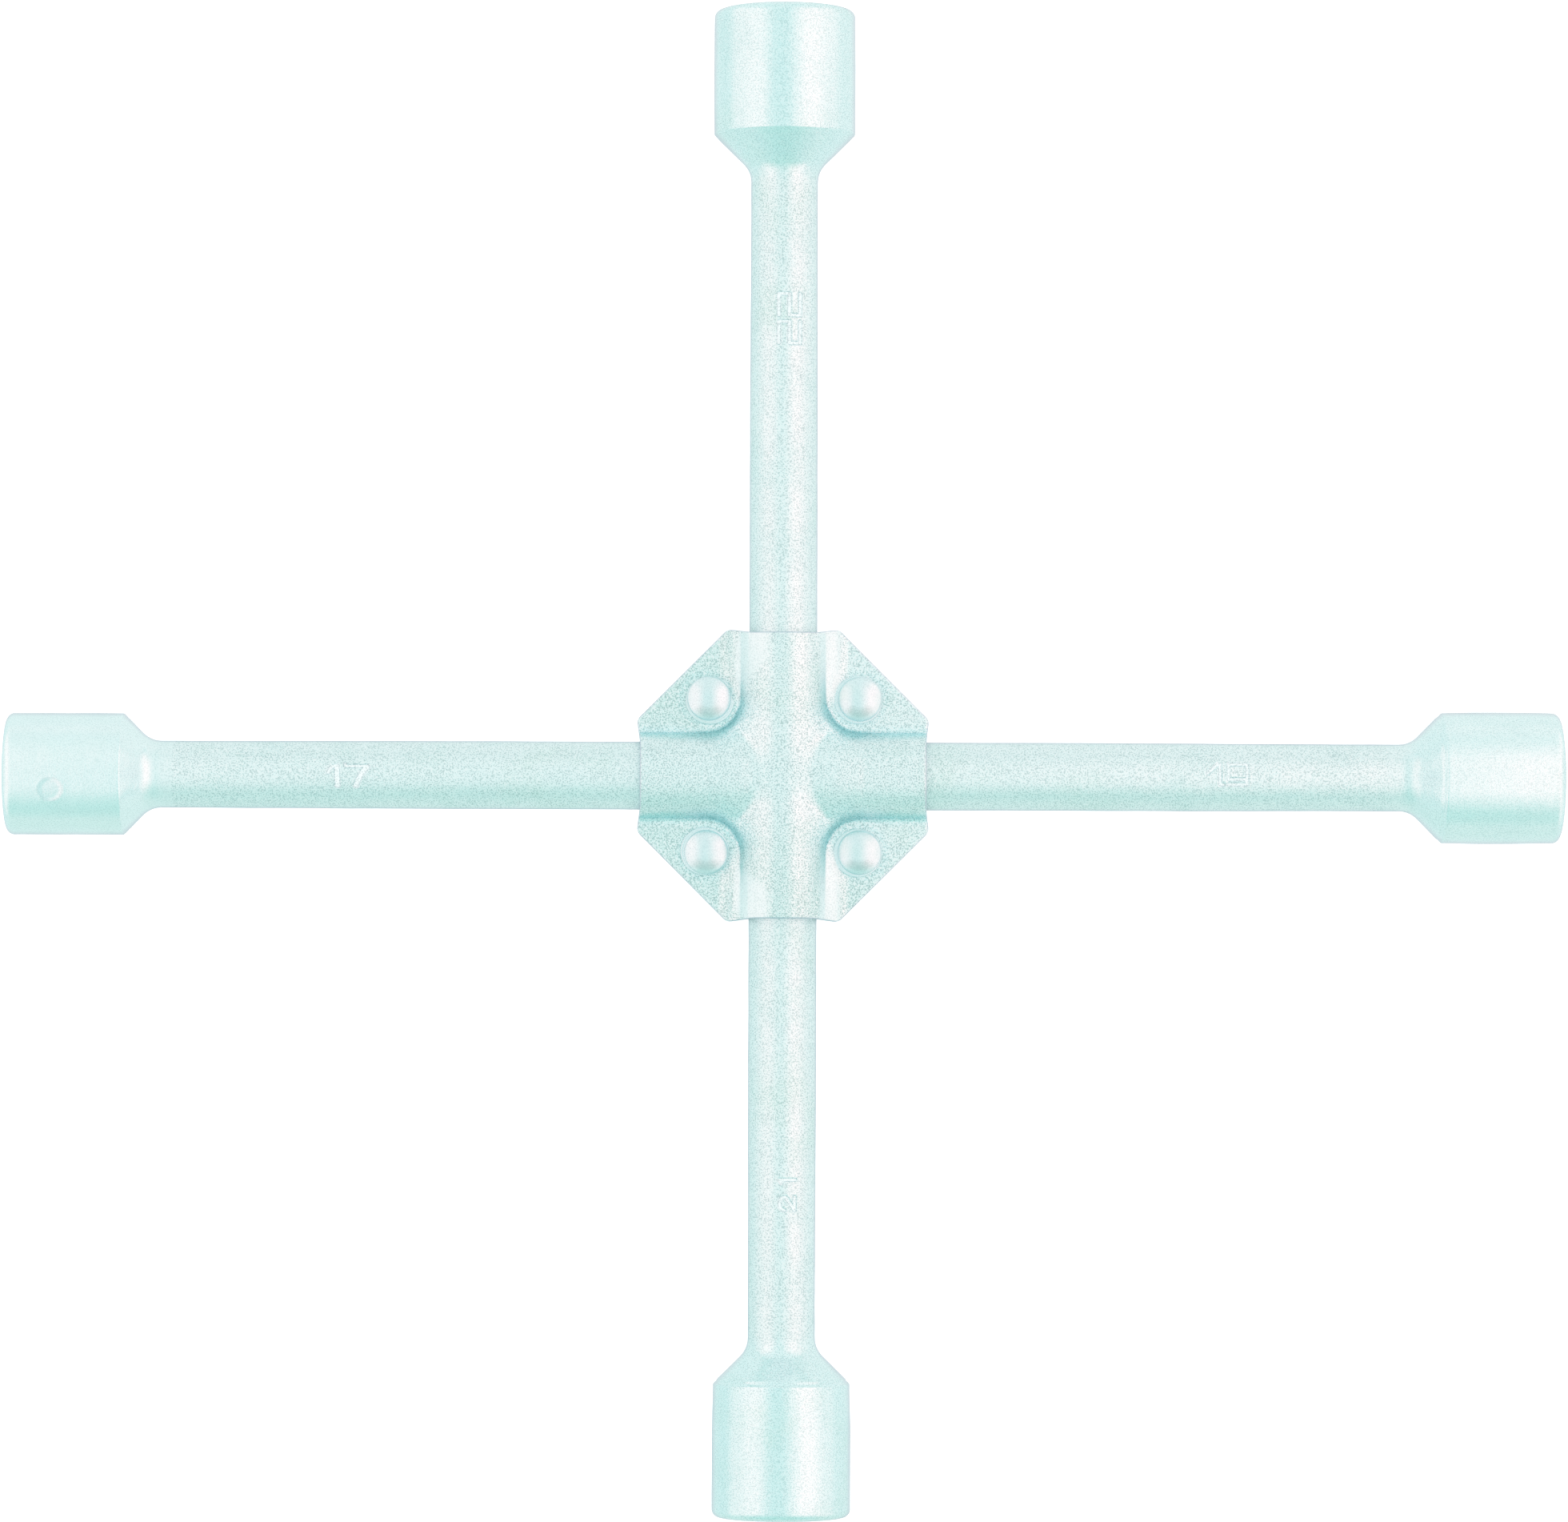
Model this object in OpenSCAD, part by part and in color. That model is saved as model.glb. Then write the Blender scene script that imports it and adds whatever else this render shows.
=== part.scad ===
// Four-way lug wrench: two crossed round bars with a forged hex socket on each end,
// clamped at the crossing between two stamped plates that four rivets hold together.
//
// The wrench lies flat in the XY plane with +Z out of its front plate. The origin is
// where the two bar axes cross. Arms: -X takes 17 mm nuts, +X 19, -Y 21 and +Y 22.

/* [Bars] */
// Diameter of the round bars
bar_d = 16; // [14:0.5:17]

/* [Reach of each arm] */
// Hub centre to the mouth of the 17 mm socket
reach_17 = 182.2; // [150:0.1:220]
// Hub centre to the mouth of the 19 mm socket
reach_19 = 182.7; // [150:0.1:220]
// Hub centre to the mouth of the 21 mm socket
reach_21 = 173.6; // [150:0.1:220]
// Hub centre to the mouth of the 22 mm socket
reach_22 = 180.7; // [150:0.1:220]

/* [Outside of the sockets] */
// Outside diameter of the 17 mm socket
socket_d_17 = 28.6; // [27:0.1:34]
// Outside diameter of the 19 mm socket
socket_d_19 = 31; // [30:0.1:36]
// Outside diameter of the 21 mm socket
socket_d_21 = 32.5; // [32:0.1:38]
// Outside diameter of the 22 mm socket
socket_d_22 = 33.4; // [33:0.1:40]
// Length of the straight barrel of the 17 mm socket
barrel_l_17 = 27.4; // [26:0.1:36]
// Length of the straight barrel of the 19 mm socket
barrel_l_19 = 27.7; // [26:0.1:36]
// Length of the straight barrel of the 21 mm socket
barrel_l_21 = 31.1; // [26:0.1:36]
// Length of the straight barrel of the 22 mm socket
barrel_l_22 = 29.4; // [26:0.1:36]
// Radius of the rounded outer edge of each mouth
mouth_round = 1.8; // [0.5:0.1:2]
// Radius of the hollow fillet between the cone and the neck
neck_fillet = 6; // [3:0.5:8]
// Straight neck between that fillet and the weld to the bar
neck_l = 3; // [2:0.5:8]

/* [Hex recesses] */
// Play of the hex over the nut, across the flats
hex_play = 0.3; // [0.1:0.05:0.5]
// Depth of each hex recess
hex_depth = 21; // [16:0.5:24]
// Depth of the round pocket for the wheel stud, from the mouth
stud_depth = 28; // [25:0.5:30]
// How far the lead-in bevel opens past the corners of the hex
lead_in = 0.4; // [0.1:0.1:0.8]

/* [Hub plates] */
// Width of each square plate across its flats
plate_w = 68.5; // [66:0.5:80]
// Length that each corner is cut back along the sides
corner_cut = 21; // [18:0.5:22]
// Radius of the plate's eight blunt corners
corner_round = 2.2; // [0.5:0.1:3]
// Thickness of the plate's sheet
sheet_t = 2; // [1.5:0.1:2.5]
// Space between the two plates' flanges
flange_gap = 0.8; // [0.2:0.1:1.5]
// Radius of the hollow foot where a channel rises from the flange
foot_fillet = 2; // [1:0.1:2.2]
// Play between a channel and its bar at the crest
bar_play = 0.05; // [0.02:0.01:0.1]

/* [Rivets] */
// Rivet centres from each bar axis
rivet_offset = 18; // [17.5:0.1:18.5]
// Diameter of the rivet shanks
shank_d = 6; // [5:0.1:6.5]
// Diameter of the domed part of the heads
dome_d = 9.6; // [8:0.1:10]
// Height of the domed part of the heads
dome_h = 2.8; // [2:0.1:3.5]
// Diameter of the thin brim under each dome
brim_d = 11.4; // [10.8:0.1:12]
// Thickness of the thin brim
brim_t = 0.5; // [0.3:0.1:0.8]

/* [Hidden] */
$fn = 96;
eps = 0.01;

// Zinc plate on steel, a little brighter on the pressed sheet and the rivet heads
bar_zinc = [0.80, 0.89, 0.89];
socket_zinc = [0.78, 0.88, 0.88];
plate_zinc = [0.82, 0.91, 0.91];
rivet_zinc = [0.88, 0.92, 0.93];

bar_r = bar_d / 2;
neck_tangent = neck_fillet * tan(22.5);
crest_flat = 0.4;             // half-width of the flat that blends the channels' crests
channel_r = bar_r + bar_play; // inside radius of the channels
crest_r = channel_r + sheet_t;
flange_lo = flange_gap / 2;
flange_top = flange_lo + sheet_t;
hole_play = 0.05;             // radial play of the shanks in the plates' holes
lap_play = 0.02;              // gap between the two bars where they are halved together

// Distance from a bar axis to the toe of the channel's foot fillet, and the height and
// distance at which the crest arc hands over to that fillet.
foot_z = flange_top + foot_fillet;
foot_u = crest_flat + sqrt(pow(crest_r + foot_fillet, 2) - pow(foot_z, 2));
join_z = foot_z * crest_r / (crest_r + foot_fillet);
join_u = crest_flat + (foot_u - crest_flat) * crest_r / (crest_r + foot_fillet);

// Length of a socket from the weld to the start of its barrel, and in all
function barrel_start(d) = neck_l + neck_tangent + (d - bar_d) / 2;
function socket_l(d, barrel_l) = barrel_start(d) + barrel_l;

// Turns +Z into one of the arm directions, keeping a flat of each hex square to Z.
module along_arm(angle) { rotate([0, 90, angle]) children(); }

// One bar from weld to weld, halved over the hub so that the other bar crosses it.
// keep is 1 where the upper half stays at the crossing and -1 where the lower one does.
module lapped_bar(angle, from_l, to_l, keep) {
    difference() {
        along_arm(angle) translate([0, 0, -from_l]) cylinder(d = bar_d, h = from_l + to_l);
        rotate(angle) translate([0, 0, -keep * (bar_r + eps) / 2])
            cube([bar_d + 2 * bar_play, bar_d + 1, bar_r + eps + lap_play], center = true);
    }
}

// Half-outline of a forged socket, from the weld at height 0 up to its mouth.
module socket_outline(d, barrel_l) {
    r = d / 2;
    l = socket_l(d, barrel_l);
    corner_z = neck_l + neck_tangent;
    barrel_z = barrel_start(d);
    tangent_step = neck_tangent / sqrt(2);
    polygon([
        [0, 0], [bar_r, 0], [bar_r, corner_z], [r, barrel_z], [r, l - mouth_round],
        [r - mouth_round, l - mouth_round], [r - mouth_round, l], [0, l]
    ]);
    difference() {
        polygon([
            [bar_r - 1, neck_l], [bar_r, neck_l], [bar_r + neck_fillet, neck_l],
            [bar_r + tangent_step, corner_z + tangent_step], [bar_r - 1, corner_z + tangent_step]
        ]);
        translate([bar_r + neck_fillet, neck_l]) circle(neck_fillet);
    }
    intersection() {
        translate([r - mouth_round, l - mouth_round]) circle(mouth_round);
        translate([r - mouth_round, l - mouth_round]) square(mouth_round + 1);
    }
}

// Forged socket with its hex recess, bevelled lead-in and round pocket for the stud.
module socket(angle, reach, d, barrel_l, size) {
    l = socket_l(d, barrel_l);
    flat_r = (size + hex_play) / 2;
    corner_r = flat_r / cos(30);
    stud_r = 0.39 * size;
    bevel_r = corner_r + lead_in;
    tip_h = stud_r * tan(31);
    along_arm(angle) translate([0, 0, reach - l]) difference() {
        rotate_extrude() socket_outline(d, barrel_l);
        translate([0, 0, l - hex_depth]) rotate(30) cylinder(r = corner_r, h = hex_depth + 1, $fn = 6);
        translate([0, 0, l - stud_depth]) cylinder(r = stud_r, h = stud_depth - hex_depth + eps);
        translate([0, 0, l - stud_depth - tip_h]) cylinder(r1 = 0, r2 = stud_r, h = tip_h);
        translate([0, 0, l - bevel_r + flat_r])
            cylinder(r1 = flat_r, r2 = bevel_r + 1, h = bevel_r - flat_r + 1);
    }
}

// Half of a channel's section, measured out from the bar axis, down to the foot's toe.
module channel_half() {
    difference() {
        union() {
            intersection() {
                translate([crest_flat, 0]) circle(crest_r);
                translate([crest_flat, flange_lo]) square([crest_r + 1, crest_r + 1]);
            }
            translate([join_u - 1, flange_lo]) square([foot_u - join_u + 1, join_z - flange_lo]);
        }
        translate([foot_u, foot_z]) circle(foot_fillet);
        translate([foot_u, flange_top]) square([3, crest_r]);
        translate([foot_u, 0]) square([3, flange_top + 1]);
    }
}

// Inside of the same channel: half of the space that the bar lies in.
module hollow_half() {
    intersection() {
        translate([crest_flat, 0]) circle(channel_r);
        translate([crest_flat, -1]) square([channel_r + 1, channel_r + 2]);
    }
}

// Sweeps a half-section along all four arms and round the four inside corners of the
// cross, and fills the star that is left in the middle up to the height of the crest.
// The children are the half-section; low and crest are its lowest and highest levels.
module swept_cross(arm_l, low, crest) {
    for (arm = [0 : 3]) rotate(arm * 90) {
        translate([rivet_offset, 0, 0]) rotate([90, 0, 90]) linear_extrude(arm_l - rivet_offset)
            for (side = [0, 1]) mirror([side, 0]) children();
        translate([rivet_offset, -crest_flat, low])
            cube([arm_l - rivet_offset, 2 * crest_flat, crest - low]);
        translate([rivet_offset, rivet_offset, 0]) rotate(180) rotate_extrude(angle = 90)
            mirror([1, 0]) translate([-rivet_offset, 0]) children();
    }
    translate([0, 0, low]) linear_extrude(crest - low) difference() {
        square(2 * rivet_offset, center = true);
        for (x = [-1, 1], y = [-1, 1])
            translate([x, y] * rivet_offset) circle(rivet_offset - crest_flat);
    }
}

// Flat outline of a plate: a square with its corners cut off and the eight that are left
// rounded. The round starts at distance t from where each sharp corner would be.
module plate_outline() {
    h = plate_w / 2;
    c = h - corner_cut;
    t = corner_round * tan(22.5);
    s = t / sqrt(2);
    for (turn = [0, 90, 180, 270]) rotate(turn) {
        polygon([
            [-eps, -eps], [h, -eps], [h, c - t], [h - s, c + s], [c + s, h - s], [c - t, h], [-eps, h]
        ]);
        translate([h - corner_round, c - t]) circle(corner_round);
        translate([c - t, h - corner_round]) circle(corner_round);
    }
}

// Ground plan of the part of the cross that stands clear of the ears, inside its feet.
module cross_plan() {
    for (turn = [0, 90]) rotate(turn) square([plate_w + 2, 2 * join_u], center = true);
    difference() {
        square(2 * rivet_offset, center = true);
        for (x = [-1, 1], y = [-1, 1])
            translate([x, y] * rivet_offset) circle(rivet_offset - join_u);
    }
}

// One stamped plate, crest up: four flat ears and a raised cross that wraps the bars.
module stamped_plate() {
    difference() {
        union() {
            swept_cross(plate_w / 2, flange_lo, crest_r) channel_half();
            translate([0, 0, flange_lo]) linear_extrude(sheet_t) difference() {
                plate_outline();
                cross_plan();
            }
        }
        swept_cross(plate_w / 2 + 1, -1, channel_r) hollow_half();
        for (x = [-1, 1], y = [-1, 1])
            translate([x * rivet_offset, y * rivet_offset, -1])
                cylinder(r = shank_d / 2 + hole_play, h = flange_top + 2);
    }
}

// Domed rivet with a thin brim, headed the same way front and back.
module rivet(x, y) {
    dome_r = (pow(dome_d / 2, 2) + pow(dome_h, 2)) / (2 * dome_h);
    color(rivet_zinc) translate([x * rivet_offset, y * rivet_offset, 0]) {
        translate([0, 0, -flange_top - eps]) cylinder(d = shank_d, h = 2 * (flange_top + eps));
        for (side = [0, 1]) mirror([0, 0, side]) translate([0, 0, flange_top]) {
            cylinder(d = brim_d, h = brim_t);
            intersection() {
                translate([0, 0, brim_t + dome_h - dome_r]) sphere(dome_r);
                cylinder(d = dome_d, h = brim_t + dome_h);
            }
        }
    }
}

module upright_bar() {
    color(bar_zinc) lapped_bar(90, reach_21 - socket_l(socket_d_21, barrel_l_21),
        reach_22 - socket_l(socket_d_22, barrel_l_22), 1);
}

module cross_bar() {
    color(bar_zinc) lapped_bar(0, reach_17 - socket_l(socket_d_17, barrel_l_17),
        reach_19 - socket_l(socket_d_19, barrel_l_19), -1);
}

module socket_17() { color(socket_zinc) socket(180, reach_17, socket_d_17, barrel_l_17, 17); }
module socket_19() { color(socket_zinc) socket(0, reach_19, socket_d_19, barrel_l_19, 19); }
module socket_21() { color(socket_zinc) socket(270, reach_21, socket_d_21, barrel_l_21, 21); }
module socket_22() { color(socket_zinc) socket(90, reach_22, socket_d_22, barrel_l_22, 22); }

module front_plate() { color(plate_zinc) stamped_plate(); }
module rear_plate() { color(plate_zinc) mirror([0, 0, 1]) stamped_plate(); }

module rivet_upper_left() { rivet(-1, 1); }
module rivet_upper_right() { rivet(1, 1); }
module rivet_lower_left() { rivet(-1, -1); }
module rivet_lower_right() { rivet(1, -1); }

upright_bar();
cross_bar();
socket_17();
socket_19();
socket_21();
socket_22();
front_plate();
rear_plate();
rivet_upper_left();
rivet_upper_right();
rivet_lower_left();
rivet_lower_right();
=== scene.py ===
"""Looks of a four-way lug wrench: forged sockets on two crossed bars, a riveted hub, zinc plate.

Lengths are in millimetres, unless a comment says metres, and become metres when a mesh is made.
Each piece takes its place and its main sizes from the CAD node that it stands for and lies in the
same frame: the arms run along -X (17 mm), +X (19 mm), -Y (21 mm) and +Y (22 mm), and +Z is out
of the front.
"""
import math

import bmesh
import bpy
import numpy as np
from mathutils import Matrix, Quaternion, Vector, noise


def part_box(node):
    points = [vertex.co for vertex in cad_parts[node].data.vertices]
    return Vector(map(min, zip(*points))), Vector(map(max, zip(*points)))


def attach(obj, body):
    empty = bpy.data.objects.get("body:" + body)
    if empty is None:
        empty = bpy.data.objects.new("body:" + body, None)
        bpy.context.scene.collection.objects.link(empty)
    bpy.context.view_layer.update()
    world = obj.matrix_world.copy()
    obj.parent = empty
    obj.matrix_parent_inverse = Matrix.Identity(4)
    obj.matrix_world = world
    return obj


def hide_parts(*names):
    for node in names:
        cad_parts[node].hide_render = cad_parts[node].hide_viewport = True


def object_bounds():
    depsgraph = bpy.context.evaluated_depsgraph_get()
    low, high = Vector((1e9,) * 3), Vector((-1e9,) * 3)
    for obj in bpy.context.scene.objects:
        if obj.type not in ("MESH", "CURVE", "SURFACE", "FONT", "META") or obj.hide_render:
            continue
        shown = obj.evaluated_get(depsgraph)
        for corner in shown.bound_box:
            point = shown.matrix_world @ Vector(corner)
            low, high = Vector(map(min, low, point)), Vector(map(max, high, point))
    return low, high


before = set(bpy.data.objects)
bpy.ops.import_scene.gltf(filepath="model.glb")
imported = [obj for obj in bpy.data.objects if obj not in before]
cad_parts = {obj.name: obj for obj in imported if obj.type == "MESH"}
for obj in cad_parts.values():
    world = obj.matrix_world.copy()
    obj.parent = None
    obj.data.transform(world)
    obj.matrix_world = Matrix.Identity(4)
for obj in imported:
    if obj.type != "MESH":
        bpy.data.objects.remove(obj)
cad_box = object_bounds()

MM = 0.001
SEW_GAP = 0.002                     # points nearer than this are one point

# ---------------------------------------------------------------- sizes of the real parts


def box_mm(node):
    """Lowest and highest corner of a CAD node, in millimetres."""
    lo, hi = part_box(node)
    return np.array(lo) / MM, np.array(hi) / MM


BAR_R = box_mm("cross_bar")[1][2]
PLATE_LO, PLATE_HI = box_mm("front_plate")
HALF_PLATE = PLATE_HI[0]            # hub centre to the flats of the plates
CREST_R = PLATE_HI[2]               # outside radius of the channels over the bars
FLANGE_LO = PLATE_LO[2]             # underside of the front plate's ears
SHEET_T = 2.0
FLANGE_TOP = FLANGE_LO + SHEET_T
RIVET_AT = np.mean(box_mm("rivet_upper_right"), axis=0)[0]   # rivet centres from each bar axis
HEAD_TOP = box_mm("rivet_upper_right")[1][2]

NECK_L = 3.0                        # weld to the start of the neck's hollow fillet
NECK_FILLET = 6.0
CONE_EDGE = 0.5                     # small radius where the cone meets the barrel
MOUTH_ROUND = 1.8
LEAD_IN = 0.4                       # the lead-in bevel opens this far past the hex corners
BEVEL_ROUND = 0.3                   # rounding between the mouth's face and the lead-in bevel
HEX_PLAY = 0.3
HEX_DEPTH = 21.0
HEX_CORNER_CUT = 0.14               # the hex corners are this much short of sharp
STUD_DEPTH = 28.0
STUD_RATIO = 0.39                   # radius of the stud pocket for each millimetre of nut
DRILL_TIP = 31.0                    # angle of the drilled bottom of the stud pocket

BAR_THINNING = 0.12                 # bars and necks are drawn this much thinner at the welds
THINNING_SPAN = 60.0                # and the thinning starts this far from the weld
LAP_HALF = BAR_R + 0.05             # half-length of the notch where one bar crosses the other
LAP_PLAY = 0.01

CREST_FLAT = 0.4
FOOT_FILLET = 1.4
FOOT_AT = 9.9                       # middle of the fillet, from the bar's axis
CORNER_CUT = 21.0                   # each corner of the plate is cut back this far along its sides
PLATE_CORNER_R = 2.2
SHEET_EDGE = 0.32                   # rounding of the sheared edges of the sheet
END_PULL = 0.75                     # the channels' ends are drawn in this far between the ears
HOLE_R = 3.05
SHANK_R = 3.0
DOME_R = 5.15
DOME_H = 1.6
SKIRT = 1.2                         # short upright side between dome and brim
BRIM_R = 5.7
BRIM_T = 0.5

# For each socket: the angle of its arm, how much paler it is drawn from 0 to 1, and how its barrel
# leaves a true cylinder, as a change of radius against the share of its length from the cone.
SOCKETS = {
    "socket_17": (180, 0.8, lambda t: 0 * t),
    "socket_19": (0, 0.35, lambda t: -0.16 * (2 * t - 1) ** 2),
    "socket_21": (270, 0.0, lambda t: -0.22 * (1 - smoothstep(0, 0.4, t))),
    "socket_22": (90, 0.0, lambda t: -0.08 * (2 * t - 1) ** 2),
}

# ---------------------------------------------------------------- small geometry helpers


def smoothstep(lo, hi, x):
    """0 up to lo, 1 from hi on, and a smooth S between them."""
    t = np.clip((x - lo) / (hi - lo), 0, 1)
    return t * t * (3 - 2 * t)


def smooth_max(a, b, k):
    """The larger of a and b, blended over a band k wide."""
    k = np.maximum(k, 1e-6)
    overlap = np.maximum(k - abs(a - b), 0) / k
    return np.maximum(a, b) + overlap**2 * k / 4


def unit(v):
    return v / np.linalg.norm(v)


def rounded(corners, arc_step=9):
    """Points through (x, y, radius) corners; each corner is rounded with an arc of its radius."""
    points = [np.array(corners[0][:2], float)]
    for before, corner, after in zip(corners, corners[1:], corners[2:]):
        at = np.array(corner[:2], float)
        to_before = unit(np.array(before[:2]) - at)
        to_after = unit(np.array(after[:2]) - at)
        if corner[2] == 0:
            points.append(at)
            continue
        half = math.acos(np.clip(to_before @ to_after, -1, 1)) / 2
        centre = at + unit(to_before + to_after) * corner[2] / math.sin(half)
        reach = corner[2] / math.tan(half)
        start = at + to_before * reach - centre
        end = at + to_after * reach - centre
        turn = math.pi - 2 * half
        steps = max(2, round(math.degrees(turn) / arc_step))
        for w in np.linspace(0, turn, steps + 1):
            points.append(centre + (math.sin(turn - w) * start + math.sin(w) * end) / math.sin(turn))
    points.append(np.array(corners[-1][:2], float))
    return np.array(points)


def subdivided(points, step):
    """The same line with extra points, so that no two are further apart than step."""
    out = [points[0]]
    for a, b in zip(points, points[1:]):
        n = max(1, math.ceil(np.linalg.norm(b - a) / step - 1e-6))
        out += [a + (b - a) * k / n for k in range(1, n + 1)]
    return np.array(out)


def arm_axes(angle):
    """Direction of an arm, and the direction to its left, seen from the front."""
    c, s = round(math.cos(math.radians(angle))), round(math.sin(math.radians(angle)))
    return np.array([c, s, 0.0]), np.array([-s, c, 0.0])


def round_arm(angle, s, radius, turn):
    """Points s along an arm, radius out from its axis, turned from +Z towards its left."""
    axis, left = arm_axes(angle)
    s, radius, turn = np.broadcast_arrays(s, radius, turn)
    across = (radius * np.sin(turn))[..., None]
    up = (radius * np.cos(turn))[..., None]
    return s[..., None] * axis + across * left + up * np.array([0, 0, 1.0])


def linked(name, data):
    """A new object in the scene."""
    thing = bpy.data.objects.new(name, data)
    bpy.context.scene.collection.objects.link(thing)
    return thing


class Skin:
    """Grids of points, in millimetres, that are sewn into one closed mesh."""

    def __init__(self):
        self.points = []
        self.faces = []
        self.count = 0

    def add(self, grid, wrap=False):
        """Adds a (rows, columns, 3) grid; wrap joins its last column to its first."""
        rows, columns = grid.shape[:2]
        index = self.count + np.arange(rows * columns).reshape(rows, columns)
        if wrap:
            index = np.hstack([index, index[:, :1]])
        corners = [index[:-1, :-1], index[:-1, 1:], index[1:, 1:], index[1:, :-1]]
        self.points.append(grid.reshape(-1, 3))
        self.faces.append(np.stack(corners, -1).reshape(-1, 4))
        self.count += rows * columns

    def piece(self, name, node, slot, material, sharp=32):
        """Makes the object, which rides on the frame in place of a CAD node."""
        mesh = bpy.data.meshes.new(name)
        mesh.from_pydata(np.vstack(self.points) * MM, [], np.vstack(self.faces).tolist())
        bm = bmesh.new()
        bm.from_mesh(mesh)
        bmesh.ops.remove_doubles(bm, verts=bm.verts, dist=SEW_GAP * MM)
        bmesh.ops.recalc_face_normals(bm, faces=bm.faces)
        bm.to_mesh(mesh)
        bm.free()
        mesh.shade_smooth()
        mesh.set_sharp_from_angle(angle=math.radians(sharp))
        mesh.materials.append(material)
        piece = linked(name, mesh)
        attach(piece, "root")
        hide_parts(node)
        return piece


def mesh_points(piece):
    """The piece's vertices, in millimetres."""
    co = np.empty(len(piece.data.vertices) * 3)
    piece.data.vertices.foreach_get("co", co)
    return co.reshape(-1, 3) / MM


def add_mask(piece, name, values):
    """Stores a number from 0 to 1 for each vertex, for the material to read."""
    layer = piece.data.attributes.new(name, "FLOAT", "POINT")
    layer.data.foreach_set("value", np.asarray(values, np.float32))


# Waves of a hot-worked surface: how deep they are and how far apart, and how much lower than its
# true place the surface lies on average.
COARSE_WAVE, COARSE_SPAN = 0.05, 11.0
FINE_WAVE, FINE_SPAN = 0.02, 3.5
WAVE_SINK = 0.01


def forging_waves(points):
    """Unevenness of a hot-worked surface at the points of a grid."""
    waves = [
        COARSE_WAVE * noise.noise(Vector(p / COARSE_SPAN)) + FINE_WAVE * noise.noise(Vector(p / FINE_SPAN))
        for p in points.reshape(-1, 3)
    ]
    return np.array(waves).reshape(points.shape[:-1]) - WAVE_SINK


# ---------------------------------------------------------------- size stamps

# Each numeral is a list of strokes: a half-width and the points that the stroke runs through,
# from the centre of its stamp, as drawn upright.
HOOKED_1 = [
    (0.42, [(-4.6, 0.7), (-4.25, 1.6), (-3.6, 2.2), (-2.7, 2.4)]),
    (0.62, [(-2.6, 2.1), (-2.4, -2.15)]),
]
CURVED_7 = [
    (0.38, [(-0.7, 2.75), (-0.55, 2.25), (4.5, 2.3), (4.75, 2.0)]),
    (0.62, [(4.3, 1.9), (3.2, 0.5), (2.4, -0.9), (1.95, -2.15)]),
]
SQUARE_1 = [
    (0.38, [(-4.6, 0.2), (-2.1, 2.4), (-1.7, 2.4), (-1.7, -2.4), (-0.9, -2.4)]),
]
SQUARE_9 = [
    (0.38, [(4.65, -1.2), (0.3, -1.2), (0.3, 2.35), (4.65, 2.35), (4.65, -2.35), (0.3, -2.35)]),
]
SHORT_1 = [(0.4, [(2.75, 1.3), (3.5, 1.85), (3.5, -1.85)])]


def square_2(x, size=5.04):
    h = size / 2
    corners = [(x - h, h), (x + h, h), (x + h, 0), (x - h, 0), (x - h, -h), (x + h, -h)]
    return [(0.42, corners)]


def round_2(x, half_w=1.55, half_h=1.75, bow_h=1.1):
    bow = [
        (x - half_w * math.cos(a), half_h - bow_h + bow_h * math.sin(a))
        for a in np.radians(np.linspace(0, 200, 9))
    ]
    return [(0.4, bow + [(x - half_w, -half_h), (x + half_w, -half_h)])]


# For each stamp: its bar, the end that it is near (0 is the -X or -Y end), its distance from that
# end, its place across the bar, +1 or -1 for which way up it reads, its depth and its strokes.
STAMPS = [
    ("cross_bar", 0, 41.2, -0.45, 1, 0.30, HOOKED_1 + CURVED_7),
    ("cross_bar", 1, 38.0, 0.5, 1, 0.26, SQUARE_1 + SQUARE_9),
    ("upright_bar", 1, 29.9, -1.2, -1, 0.26, square_2(-3.28) + square_2(3.28)),
    ("upright_bar", 0, 30.7, -1.2, 1, 0.26, round_2(-2.0) + SHORT_1),
]
STAMP_SPAN = 7.5                    # a stamp reaches no further than this along the bar
STAMP_ARC = 38.0                    # nor further round the bar than this, in degrees
STAMP_CELL = 0.14                   # mesh spacing over a stamp
STAMP_WALL = 0.3                    # width of a stroke's sloping wall
STAMP_LIP = 0.035                   # height of the metal pushed up round a stroke
STAMP_LIP_AT = 0.3                  # middle of that lip, from the edge of the stroke
STAMP_LIP_W = 0.16
FAR_AWAY = 1e3


def stroke_distance(x, y, strokes):
    """Distance from points to the edge of the nearest stroke, negative inside it."""
    best = np.full(np.shape(x), FAR_AWAY)
    for half_width, line in strokes:
        for (ax, ay), (bx, by) in zip(line, line[1:]):
            dx, dy = bx - ax, by - ay
            t = np.clip(((x - ax) * dx + (y - ay) * dy) / (dx * dx + dy * dy), 0, 1)
            best = np.minimum(best, np.hypot(x - ax - t * dx, y - ay - t * dy) - half_width)
    return best


def pressed_in(edge):
    """Share of a stamp's full depth, from the distance to the edge of its strokes."""
    return 1 - smoothstep(-STAMP_WALL / 2, STAMP_WALL / 2, edge)


# ---------------------------------------------------------------- sockets and bars


def bar_radius(s, weld):
    """Radius of a bar at distance s from the hub, where weld is the distance to its weld."""
    return BAR_R - BAR_THINNING * smoothstep(weld - THINNING_SPAN, weld, abs(s))


def hex_radius(size, turn):
    """Distance to the hex wall at each turn angle; a flat is square to +Z."""
    flat = (size + HEX_PLAY) / 2
    off_flat = (turn + math.radians(30)) % math.radians(60) - math.radians(30)
    return np.minimum(flat / np.cos(off_flat), flat / math.cos(math.radians(30)) - HEX_CORNER_CUT)


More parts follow.
